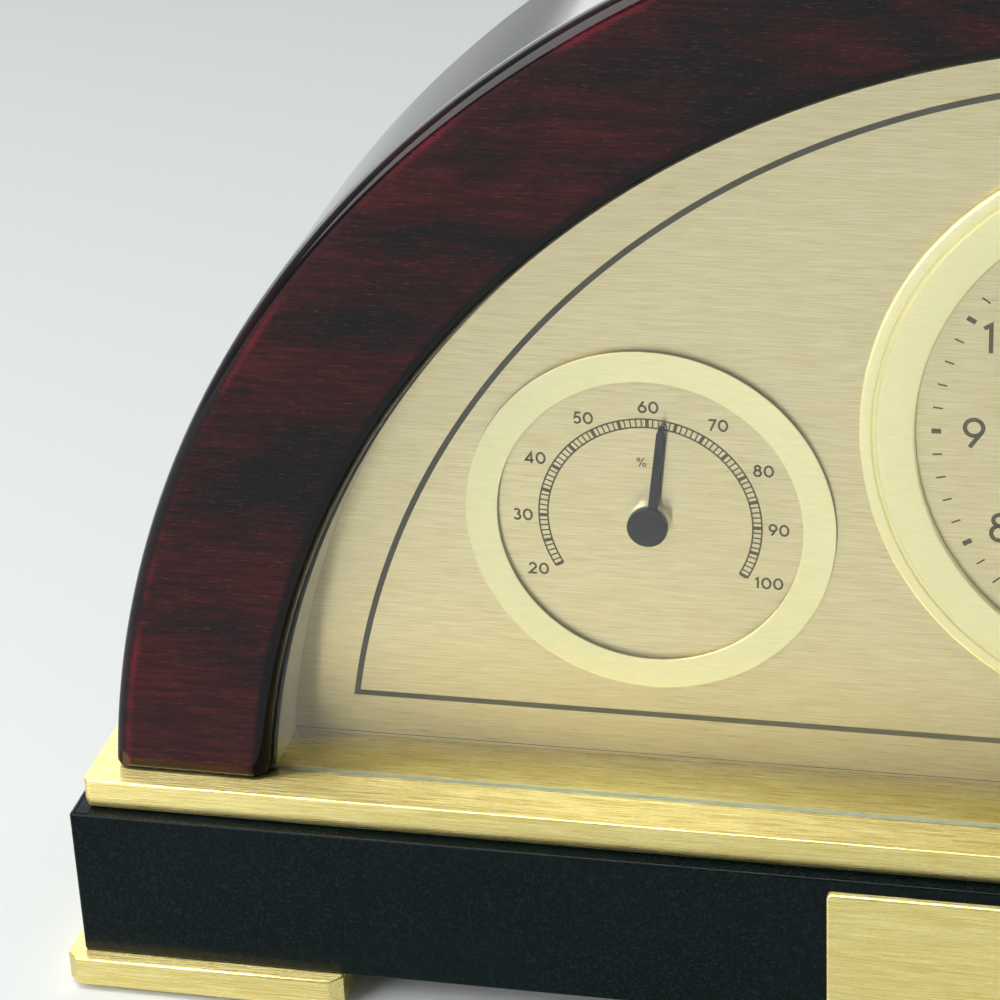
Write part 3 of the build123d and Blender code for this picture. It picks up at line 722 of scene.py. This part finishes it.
makeRing("clock", clockRing, (0, dialFront, clockZ))
for kind, place in (("hygrometer", hygrometerX), ("thermometer", thermometerX)):
    makeRing(kind, smallRing, (place, dialFront, instrumentZ))
    makeHub(kind + "_cap", kind + "_hub", kind + "_needle")
    makePointer(kind, place)
print("rings and hubs made")

letterGap = 0.12   # parts of the height
glyphSteps = 32
mitreLimit = 0.35   # a sharp corner's mitre reaches no further than the half width over this
glyphs = {
    # width, then strokes in parts of the height: points (x, y) or arcs (centre x and y, radius x and y, start
    # and end in degrees)
    "0": (0.78, [[(0.39, 0.5, 0.31, 0.42, 0, 360)]]),
    "1": (0.42, [[(0.08, 0.80), (0.28, 0.92), (0.28, 0.04)]]),
    "2": (0.68, [[(0.32, 0.68, 0.24, 0.24, 172, -38), (0.06, 0.08), (0.62, 0.08)]]),
    "3": (0.62, [[(0.28, 0.71, 0.20, 0.21, 150, -90)], [(0.28, 0.29, 0.25, 0.22, 90, -150)]]),
    "4": (0.72, [[(0.50, 0.04), (0.50, 0.90), (0.06, 0.27), (0.68, 0.27)]]),
    "5": (0.64, [[(0.58, 0.92), (0.22, 0.92), (0.14, 0.52), (0.29, 0.33, 0.27, 0.26, 112, -142)]]),
    "6": (0.68, [[(0.46, 0.96), (0.12, 0.47)], [(0.34, 0.33, 0.265, 0.26, 0, 360)]]),
    "7": (0.64, [[(0.06, 0.92), (0.58, 0.92), (0.20, 0.04)]]),
    "8": (0.66, [[(0.33, 0.735, 0.195, 0.185, 0, 360)], [(0.33, 0.31, 0.25, 0.24, 0, 360)]]),
    "9": (0.68, [[(0.22, 0.04), (0.56, 0.53)], [(0.34, 0.67, 0.265, 0.26, 0, 360)]]),
    "%": (0.94, [[(0.20, 0.74, 0.13, 0.15, 0, 360)], [(0.74, 0.24, 0.13, 0.15, 0, 360)],
                 [(0.70, 0.96), (0.24, 0.02)]]),
    "-": (0.48, [[(0.06, 0.42), (0.40, 0.42)]]),
    "+": (0.66, [[(0.06, 0.5), (0.60, 0.5)], [(0.33, 0.23), (0.33, 0.77)]]),
    "C": (0.86, [[(0.46, 0.5, 0.40, 0.42, 48, 312)]]),
    "o": (0.32, [[(0.16, 0.84, 0.10, 0.10, 0, 360)]]),
}


def strokePoints(stroke):
    # samples the arcs of one stroke and joins them to its corners
    points = []
    for item in stroke:
        if len(item) > 2:
            cx, cy, rx, ry, start, end = item
            angle = np.radians(np.linspace(start, end, glyphSteps + 1))
            item = np.stack([cx + rx * np.cos(angle), cy + ry * np.sin(angle)], -1)
        points.append(np.reshape(item, (-1, 2)))
    return np.concatenate(points)


def inkStroke(path, width, plane, way, thickness):
    # a flat bar of the given width along a path in an upright plane, standing out towards way; corners are
    # mitred, and a path that ends where it starts is closed
    closed = np.allclose(path[0], path[-1])
    if closed:
        path = path[:-1]
    count = len(path)
    before = path - np.roll(path, 1, 0)
    after = np.roll(path, -1, 0) - path
    if not closed:
        before[0], after[-1] = after[0], before[-1]
    before /= np.linalg.norm(before, axis=1)[:, None]
    after /= np.linalg.norm(after, axis=1)[:, None]
    along = before + after
    along /= np.linalg.norm(along, axis=1)[:, None]
    normal = np.stack([-along[:, 1], along[:, 0]], -1)
    stretch = 1 / np.clip((along * before).sum(1), mitreLimit, 1)
    offset = normal * (width / 2 * stretch)[:, None]
    left, right = path + offset, path - offset
    top = plane + way * thickness
    ring = np.zeros((count, 4, 3))
    for k, (side, y) in enumerate(((left, top), (right, top), (right, plane), (left, plane))):
        ring[:, k, 0], ring[:, k, 1], ring[:, k, 2] = side[:, 0], y, side[:, 1]
    faces = gridFaces(count, 4, closeRows=closed)
    return ring.reshape(-1, 3), faces if closed else faces + endCaps(count, 4)


def onDial(cx, cz, radius, turn):
    # points at clock angles: degrees clockwise from straight up
    turn = np.radians(turn)
    return np.stack([cx + radius * np.sin(turn), cz + radius * np.cos(turn)], -1)


def textWidth(text, height):
    return height * (sum(glyphs[letter][0] for letter in text) + letterGap * (len(text) - 1))


def textStrokes(text, place, height, width):
    # the strokes of a text centred on a place, as (path, width)
    strokes, at = [], np.array(place) - np.array([textWidth(text, height), height]) / 2
    for letter in text:
        wide, shapes = glyphs[letter]
        strokes += [(at + strokePoints(shape) * height, width) for shape in shapes]
        at = at + [(wide + letterGap) * height, 0]
    return strokes


printRelief = 0.02   # mm, coarser than real ink so that it stays a body of its own


def printPiece(name, strokes, slotName="champagne_brass", look="dialInk", plane=dialFront, way=-1,
               relief=printRelief):
    # all strokes, given as (path, width), in one piece
    bars = [inkStroke(path, width, plane, way, relief) for path, width in strokes]
    makePiece(name, *joined(bars), slotName, look=look)


borderLine = {"inset": 7.78, "bottom": 17.07, "width": 0.72, "steps": 300}   # mm


def makeBorder():
    # one closed line: a large arc and the straight line under the dials
    b = borderLine
    radius = outerRadius - archSizes["band"] - b["inset"]
    low = centreZ + b["bottom"]
    lean = math.degrees(math.acos(b["bottom"] / radius))
    arc = onDial(0, centreZ, radius, np.linspace(-lean, lean, b["steps"] + 1))
    path = np.vstack([arc, arc[:1]])
    path[[0, b["steps"], b["steps"] + 1], 1] = low
    printPiece("border_print", [(path, b["width"])])


scaleShape = {
    # mm and degrees
    "inner": 12.22, "outer": 13.28, "line": 0.2, "thin": 0.17, "bold": 0.42, "reach": 120.0, "overrun": 0.4,
    "steps": 160, "boldEvery": 5, "numeralEvery": 10,
    "numeralHeight": 1.55, "numeralLine": 0.26, "numeralGap": 0.77, "numeralReach": 117.4,
    "unitHeight": 1.25, "unitLine": 0.15, "unitPlace": (-0.8, 7.7),
    # how far single numbers of the humidity dial stand from their even places, to the right and up
    "nudges": {20: (0.15, -0.1), 30: (0, -0.11), 40: (0, -0.31), 50: (0.1, -0.28), 60: (0.17, 0),
               70: (0.64, -0.27), 80: (0.13, -0.27), 90: (0, -0.12), 100: (-0.14, 0.1)},
}


def makeScale(name, cx, first, last, unit, nudges):
    # two arcs closed at their ends, with a line for every degree or percent, and the numbers outside them
    s = scaleShape
    turns = s["reach"] * np.linspace(-1, 1, last - first + 1)
    ends = (s["reach"] + s["overrun"]) * np.linspace(-1, 1, s["steps"] + 1)
    strokes = [(onDial(cx, instrumentZ, s[key], ends), s["line"]) for key in ("inner", "outer")]
    marks = np.array([s["inner"] + s["line"] / 2, s["outer"] - s["line"] / 2])
    for value, turn in enumerate(turns, first):
        width = s["thin"] if value % s["boldEvery"] else s["bold"]
        strokes.append((onDial(cx, instrumentZ, marks, turn), width))
    for value in range(first, last + 1, s["numeralEvery"]):
        # each number keeps the same clear gap from the outer arc, whichever side of the dial it is on
        turn = np.clip(turns[value - first], -s["numeralReach"], s["numeralReach"])
        size = np.array([textWidth(str(value), s["numeralHeight"]), s["numeralHeight"]])
        radius = s["outer"] + s["numeralGap"] + np.abs(onDial(0, 0, 1, turn)) @ size / 2
        place = onDial(cx, instrumentZ, radius, turn) + nudges.get(value, (0, 0))
        strokes += textStrokes(str(value), place, s["numeralHeight"], s["numeralLine"])
    place = cx + s["unitPlace"][0], instrumentZ + s["unitPlace"][1]
    printPiece(name, strokes + textStrokes(unit, place, s["unitHeight"], s["unitLine"]))


clockPrint = {   # mm
    "outer": 28.4, "inner": 27.3, "line": 0.2, "bold": 0.6, "numeralRadius": 23.6, "numeralHeight": 3.9,
    "numeralLine": 0.5,
}


def makeClockPrint():
    # minute marks, bold at every hour, and the hours' numbers
    s = clockPrint
    marks = np.array([s["inner"], s["outer"]])
    strokes = [(onDial(0, clockZ, marks, 6 * minute), s["line"] if minute % 5 else s["bold"])
               for minute in range(60)]
    for hour in range(1, 13):
        place = onDial(0, clockZ, s["numeralRadius"], 30 * hour)
        strokes += textStrokes(str(hour), place, s["numeralHeight"], s["numeralLine"])
    printPiece("clock_print", strokes)


makeBorder()
makeScale("hygrometer_print", hygrometerX, 20, 100, "%", scaleShape["nudges"])
makeScale("thermometer_print", thermometerX, -10, 50, "oC", {})
makeClockPrint()
print("printing made")

fasteners = {
    # mm; the crown is how far points of the head's outline lie inside its radius and below its top
    "panel_screws": {"head": 2.6, "headHeight": 1.4, "shank": 1.3, "socket": 1.3, "depth": 0.9, "taper": 0.72,
                     "crown": ((0.25, 0), (0.06, 0.04), (0, 0.12))},
    "case_bolts": {"head": 3.5, "headHeight": 2.4, "shank": 2.0, "socket": 3.0, "depth": 1.4, "taper": 1.0,
                   "crown": ((0.5, 0), (0.1, 0.1), (0, 0.4), (0, 2.4))},
}
screwTurns = (28.0, 72.0, 108.0, 152.0)   # degrees, the places of the panel screws round the arch's centre
turnsOfScrew = np.linspace(0, 2 * math.pi, 96, endpoint=False)


def crossRadius(turn, arm):
    # outline of a cross whose arms are tan 15 degrees as wide as they are long, as a radius over the angle
    width = arm * math.tan(math.radians(15))
    c, s = np.abs(np.cos(turn)) + 1e-9, np.abs(np.sin(turn)) + 1e-9
    return np.maximum(np.minimum(arm / c, width / s), np.minimum(width / c, arm / s))


def hexRadius(turn, across):
    # outline of a hexagon as a radius over the angle
    third = math.radians(60)
    return across / 2 / np.cos((turn + third / 2) % third - third / 2)


def makeFasteners(name, nodeName, socketRadius, centres, length, axis, way):
    # one turned profile from the bottom of the socket over the head to the shank's tip, at every centre
    f = fasteners[nodeName]
    socket = socketRadius(turnsOfScrew, f["socket"])
    profile = [(0, -f["depth"]), (socket * f["taper"], -f["depth"]), (socket, 0)]
    profile += [(f["head"] - inwards, -below) for inwards, below in f["crown"]]
    profile += [(f["shank"], -f["headHeight"]), (f["shank"], -length), (0, -length)]
    turnedPiece(name, nodeName, profile, centres, axis=axis, way=way, steps=len(turnsOfScrew))


def makePanelScrews():
    # countersunk screws with cross recesses, set round the back panel
    low, high = boxOf("panel_screws")
    ring = (high[0] - fasteners["panel_screws"]["head"]) / math.cos(math.radians(screwTurns[0]))
    places = [(ring * math.cos(at), high[1], centreZ + ring * math.sin(at)) for at in np.radians(screwTurns)]
    makeFasteners("panel_screw_set", "panel_screws", crossRadius, places, high[1] - low[1], 1, 1)


def makeCaseBolts():
    # socket head bolts, one up through each end of the base
    high = boxOf("case_bolts")[1]
    foot = boxOf("left_foot")[0][2]
    reach = high[0] - fasteners["case_bolts"]["head"]
    places = [(-reach, 0, foot), (reach, 0, foot)]
    makeFasteners("case_bolt_pair", "case_bolts", hexRadius, places, high[2] - foot, 2, -1)


makePanelScrews()
makeCaseBolts()

knobShape = {   # mm
    "ribs": 24, "ribDepth": 0.22, "edge": 0.4, "edgeShare": 0.3, "height": 2.7, "foot": 0.15, "stem": 1.5,
    # the dish: its share of the radius, its depth, that depth over its own radius, and its broken rim
    "dishShare": 0.62, "dish": 0.35, "dishShares": ((0, 1), (0.5, 1), (0.9, 0.45)),
    "rimWidth": 0.3, "rimDrop": 0.05, "steps": 240,
}


def makeSetKnob():
    # ribbed knob with a shallow dish for the fingertip
    k = knobShape
    low, high = boxOf("set_knob")
    radius = (high[0] - low[0]) / 2
    edge, height, stem = k["edge"], k["height"], k["stem"]
    turn = np.linspace(0, 2 * math.pi, k["steps"], endpoint=False)
    rim = radius - k["ribDepth"] + k["ribDepth"] * np.cos(k["ribs"] * turn)
    dish = radius * k["dishShare"]
    profile = [(dish * out, -k["dish"] * deep) for out, deep in k["dishShares"]]
    profile += [(dish, -k["rimDrop"]), (dish + k["rimWidth"], 0), (rim - edge, 0)]
    profile += [(rim - edge * k["edgeShare"], -edge * k["edgeShare"]), (rim, -edge)]
    profile += [(rim, k["foot"] - height), (rim - k["foot"], -height), (stem, -height)]
    profile += [(stem, low[1] - high[1]), (0, low[1] - high[1])]
    centre = (0, high[1], clockZ)
    turnedPiece("set_knob_moulded", "set_knob", profile, [centre], "set_knob", way=1, steps=k["steps"])


batteryShape = {   # mm
    "edge": 0.4, "nipple": 2.7, "nippleLength": 1.0, "nippleEdge": 0.3, "flare": 0.8, "sink": 0.02,
    "dent": 3.2, "dentRim": 3.6, "dentDepth": 0.15, "flatEdge": 0.6,              # the minus end
    "film": 0.08, "filmEdge": 0.03, "filmShrink": 0.2,
}


def makeBattery():
    # can with rounded shoulders, and the film over its side
    b = batteryShape
    low, high = boxOf("battery_can")
    sleeveLow, sleeveHigh = boxOf("battery_sleeve")
    radius = (high[2] - low[2]) / 2
    centre = (0, (low[1] + high[1]) / 2, (low[2] + high[2]) / 2)
    start, end, tip = low[0], high[0] - b["nippleLength"], high[0]
    edge, nipple, nippleEdge = b["edge"], b["nipple"], b["nippleEdge"]
    profile = [(0, start + b["dentDepth"]), (b["dent"], start + b["dentDepth"]), (b["dentRim"], start)]
    profile += [(radius - b["flatEdge"], start)] + arcProfile(radius - edge, start + edge, edge, -90, 0, 4)
    profile += arcProfile(radius - edge, end - edge, edge, 0, 90, 4)
    profile += [(nipple + b["flare"], end), (nipple, end - b["sink"])]
    profile += arcProfile(nipple - nippleEdge, tip - nippleEdge, nippleEdge, 0, 90, 4) + [(0, tip)]
    turnedPiece("battery_drawn_can", "battery_can", profile, [centre], "battery", axis=0, way=1)
    film = (sleeveHigh[2] - sleeveLow[2]) / 2
    thin = film - b["filmEdge"]
    first, last = sleeveLow[0], sleeveHigh[0]
    wrap = [(film - b["film"], first), (thin, first), (film, first + b["filmShrink"]),
            (film, last - b["filmShrink"]), (thin, last), (film - b["film"], last)]
    turnedPiece("battery_wrap", "battery_sleeve", wrap, [centre], "battery", axis=0, way=1)


# mm; the places are measured from the battery
markShape = {"height": 4.0, "line": 0.5, "relief": 0.05, "fromEnd": 4.0, "above": 4.0}


def makeMovementMarks():
    # printed plus and minus at the ends of the battery bay
    m = markShape
    back = boxOf("movement_rear_shell")[1][1]
    low, high = boxOf("battery_can")
    strokes = []
    for sign, x in (("-", low[0] + m["fromEnd"]), ("+", high[0] - m["fromEnd"])):
        strokes += textStrokes(sign, (x, high[2] + m["above"]), m["height"], m["line"])
    printPiece("bay_marks", strokes, slotOf["movement_rear_shell"], "markPaint", back, 1, m["relief"])


makeSetKnob()
makeBattery()
makeMovementMarks()
print("screws, knob and battery made")

stage = {
    "floorRadius": 2.2, "floorSteps": 96, "floorNear": "#DDE0DE", "floorFar": "#BBBFBF",
    "fade": (-0.05, 0.42),     # metres behind the clock's middle over which the floor darkens
    "backSeen": "#DDE1E1", "glossBehind": "#F3F5F5", "glossFront": "#848A8A",
    "turnOver": (-0.5, 0.6),   # how far back a reflection looks, from the front tone to the one behind
    "fill": "#F2F5F6", "fillStrength": 0.44,
}


def makeFloor():
    # a wide flat disc under the feet, pale matt card
    material, tree, body, grain = startMaterial("paleMattCard", {"Specular IOR Level": 0.2}, {
        "cloud": ((400.0, 400.0, 400.0), 2.0, 0.5, 0.0)})
    depth = addNode(tree, "SeparateXYZ", links={"Vector": grain["place"]}).node.outputs["Y"]
    far = addNode(tree, "MapRange", links={
        "Value": depth, "From Min": stage["fade"][0], "From Max": stage["fade"][1]})
    dressSurface(tree, body, stage["floorNear"], [(far, stage["floorFar"])],
                 (grain["cloud"], 0, 1, 0.85, 0.95), grain["cloud"], 0.01)
    steps = stage["floorSteps"]
    turn = np.linspace(0, 2 * math.pi, steps, endpoint=False)
    rim = stage["floorRadius"] * np.stack([np.cos(turn), np.sin(turn), np.zeros(steps)], -1)
    mesh = bpy.data.meshes.new("tableTop")
    mesh.from_pydata(rim.tolist(), [], [list(range(steps))])
    mesh.materials.append(material)
    floor = bpy.data.objects.new("tableTop", mesh)
    bpy.context.scene.collection.objects.link(floor)


def makeWorld():
    # even fill light; reflections see a room that is pale behind the clock and dim in front of it
    world = bpy.data.worlds.new("paleRoom")
    bpy.context.scene.world = world
    world.use_nodes = True
    tree = world.node_tree
    tree.nodes.clear()
    rays = addNode(tree, "LightPath").node.outputs
    mirrored = addNode(tree, "Math", {"operation": "MAXIMUM"}, {
        0: rays["Is Glossy Ray"], 1: rays["Is Transmission Ray"]})
    back = addNode(tree, "SeparateXYZ", links={"Vector": addNode(tree, "TexCoord")}).node.outputs["Y"]
    back = addNode(tree, "MapRange", links={
        "Value": back, "From Min": stage["turnOver"][0], "From Max": stage["turnOver"][1]})
    tone = addNode(tree, "Mix", rgb, {
        0: back, 6: linear(stage["glossFront"]), 7: linear(stage["glossBehind"])}, 2)
    fill, gloss, seen = [
        addNode(tree, "Background", links={"Color": colour, "Strength": strength}) for colour, strength in (
            (linear(stage["fill"]), stage["fillStrength"]), (tone, 1.0), (linear(stage["backSeen"]), 1.0))]
    room = addNode(tree, "MixShader", links={0: mirrored, 1: fill, 2: gloss})
    room = addNode(tree, "MixShader", links={0: rays["Is Camera Ray"], 1: room, 2: seen})
    addNode(tree, "OutputWorld", links={"Surface": room})


makeFloor()
makeWorld()

lampTarget = Vector((0, 0, 0.06))   # metres
lamps = {
    # name: place, width and height in metres, watts
    "leftWindow": ((-1.3, -1.1, 0.9), (1.3, 1.2), 34.0),
    "ceilingStrip": ((-0.48, -0.3, 1.9), (0.14, 1.3), 16.0),
    "glintTube": ((-0.74, -0.25, 1.9), (0.03, 1.2), 15.0),
    "backScreen": ((-1.4, 1.9, 0.75), (2.6, 1.5), 15.0),
}
for lampName, (place, size, watts) in lamps.items():
    lamp = bpy.data.lights.new(lampName, "AREA")
    lamp.shape, lamp.energy = "RECTANGLE", watts
    lamp.size, lamp.size_y = size
    lampObject = bpy.data.objects.new(lampName, lamp)
    lampObject.location = place
    lampObject.rotation_euler = (lampTarget - Vector(place)).to_track_quat("-Z", "Y").to_euler()
    # the tube only makes the narrow glint on the brushed strip
    lampObject.visible_diffuse = lampName != "glintTube"
    bpy.context.scene.collection.objects.link(lampObject)

cameraSetup = {
    # mm from the arch's centre, then degrees
    "place": (7.27, -343.9, 223.86), "turns": (("Z", 14.217), ("X", -26.959), ("Y", 2.932), ("X", 90.0)),
    "lens": 120.2, "sensor": 36.0,   # mm
}
camera = bpy.data.objects.new("photoCamera", bpy.data.cameras.new("photoCamera"))
camera.data.sensor_width, camera.data.lens = cameraSetup["sensor"], cameraSetup["lens"]
camera.data.clip_start, camera.data.clip_end = 0.01, 20.0
looking = Matrix.Translation((Vector(cameraSetup["place"]) + Vector((0, 0, centreZ))) * mm)
for axisName, degrees in cameraSetup["turns"]:
    looking = looking @ Matrix.Rotation(math.radians(degrees), 4, axisName)
camera.matrix_world = looking
bpy.context.scene.collection.objects.link(camera)
bpy.context.scene.camera = camera
bpy.context.scene.view_settings.view_transform = "Standard"
print("stage, lamps and camera made")

bpy.context.view_layer.update()
